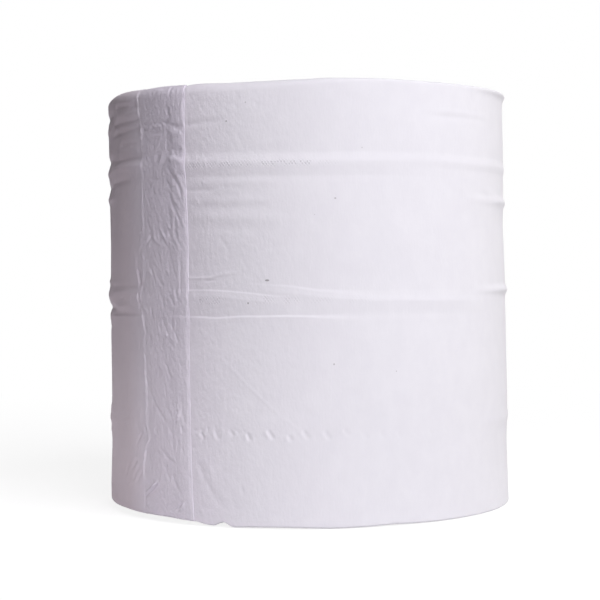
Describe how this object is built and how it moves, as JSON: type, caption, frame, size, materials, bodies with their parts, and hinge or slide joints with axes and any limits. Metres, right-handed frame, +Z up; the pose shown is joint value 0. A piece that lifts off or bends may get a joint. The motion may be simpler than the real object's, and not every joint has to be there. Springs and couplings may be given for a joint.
{
  "type": "paper towel roll",
  "caption": "White two-ply paper towel roll wound on a cardboard core, standing on end, with its last sheet glued down along a puckered strip.",
  "frame": {"origin": "middle of the flat lower end that the roll stands on", "axes": "+Z up along the roll's axis; the front of the roll, as the reference view shows it, faces -Y"},
  "size_m": [0.1913, 0.1907, 0.195],
  "materials": {
    "tissue": "soft matte white two-ply tissue",
    "cardboard": "matte spiral-wound grey-brown board"
  },
  "bodies": {
    "root": {"paper_roll": "tissue", "core_tube": "cardboard"}
  },
  "joints": []
}
